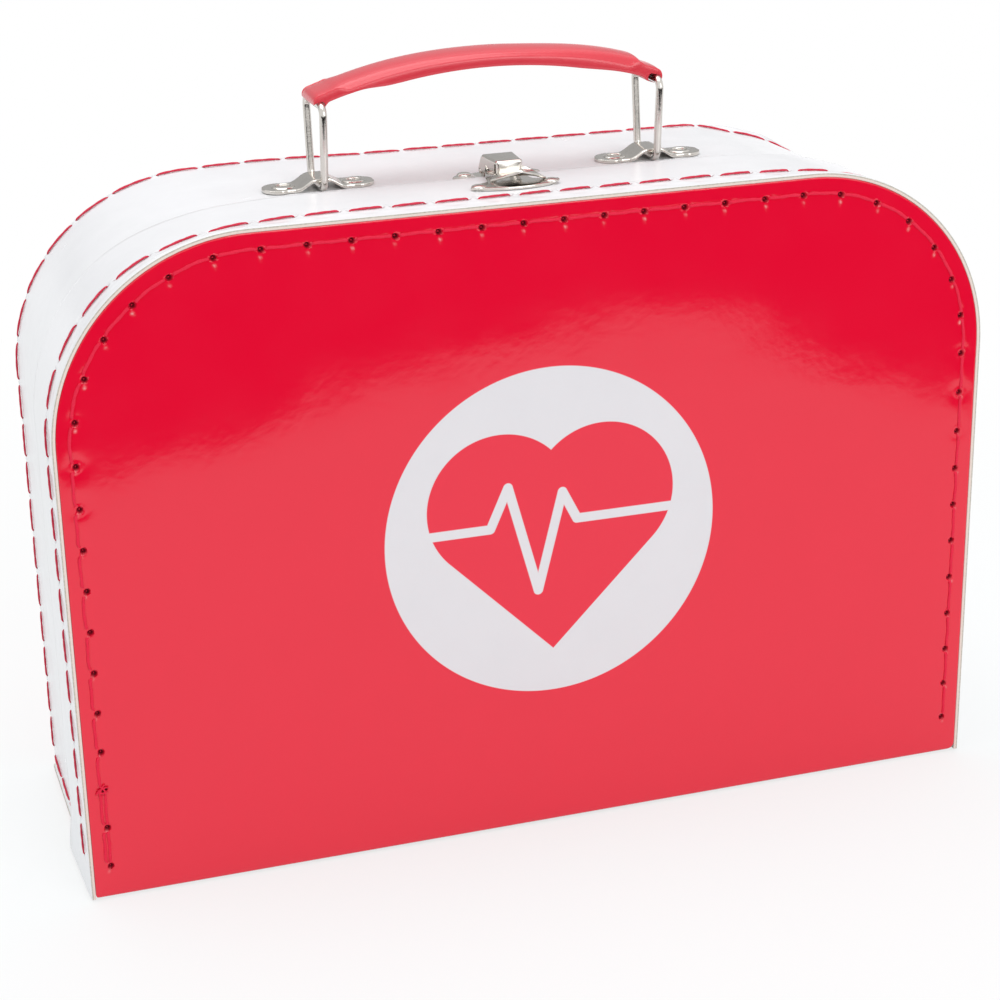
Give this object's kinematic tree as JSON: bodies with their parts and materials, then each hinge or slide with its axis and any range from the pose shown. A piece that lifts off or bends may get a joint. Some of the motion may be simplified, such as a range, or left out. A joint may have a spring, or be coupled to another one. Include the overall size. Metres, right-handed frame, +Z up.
{
  "type": "toy doctor case",
  "caption": "Small sewn cardboard play case with rounded top corners, a drop-front lid that slips over the base, a swinging handle on wire bails and a thumb latch.",
  "frame": {"origin": "on the floor under the middle of the closed case", "axes": "+X to the right along the front, -Y out of the front panel, +Z up"},
  "size_m": [0.254, 0.0808, 0.2069],
  "materials": {
    "red_board": "gloss paper laminate",
    "white_board": "satin paper laminate",
    "red_thread": "twisted polyester thread",
    "nickel": "bright nickel-plated steel",
    "red_vinyl": "soft glossy vinyl"
  },
  "bodies": {
    "base": {"back_and_bottom_sheet": "red_board", "base_band": "white_board", "back_seam_thread": "red_thread", "bottom_seam_thread": "red_thread", "handle_plate_left": "nickel", "handle_plate_right": "nickel", "handle_eyelets_left": "nickel", "handle_eyelets_right": "nickel", "eyelet_washers": "nickel", "latch_hinge_plate": "nickel", "latch_hinge_rivets": "nickel", "latch_hinge_washers": "nickel", "latch_pin": "nickel"},
    "lid": {"lid_panel": "red_board", "lid_band": "white_board", "lid_seam_thread": "red_thread", "keeper_plate": "nickel", "keeper_rivets": "nickel", "keeper_washers": "nickel"},
    "bail_left": {"bail_left": "nickel"},
    "grip": {"handle_grip": "red_vinyl"},
    "bail_right": {"bail_right": "nickel"},
    "latch_lever": {"latch_lever": "nickel"}
  },
  "joints": [
    {"name": "lid_swing", "type": "hinge", "parent": "base", "child": "lid", "pos_m": [0, -0.04, 0], "axis": [1, 0, 0], "range_deg": [0, 90]},
    {"name": "bail_left_swing", "type": "hinge", "parent": "base", "child": "bail_left", "pos_m": [-0.0473, 0, 0.17485], "axis": [0, 1, 0], "range_deg": [-70, 70]},
    {"name": "grip_pivot", "type": "hinge", "parent": "bail_left", "child": "grip", "pos_m": [-0.0473, 0, 0.19625], "axis": [0, 1, 0], "range_deg": [-70, 70]},
    {"name": "bail_right_swing", "type": "hinge", "parent": "base", "child": "bail_right", "pos_m": [0.0441, 0, 0.17485], "axis": [0, 1, 0], "range_deg": [-70, 70]},
    {"name": "lever_lift", "type": "hinge", "parent": "base", "child": "latch_lever", "pos_m": [-0.0016, -0.0078, 0.1761], "axis": [-1, 0, 0], "range_deg": [0, 50]}
  ],
  "couplings": [
    {"joint": "grip_pivot", "follows": "bail_left_swing", "ratio": -1},
    {"joint": "bail_right_swing", "follows": "bail_left_swing", "ratio": 1}
  ]
}
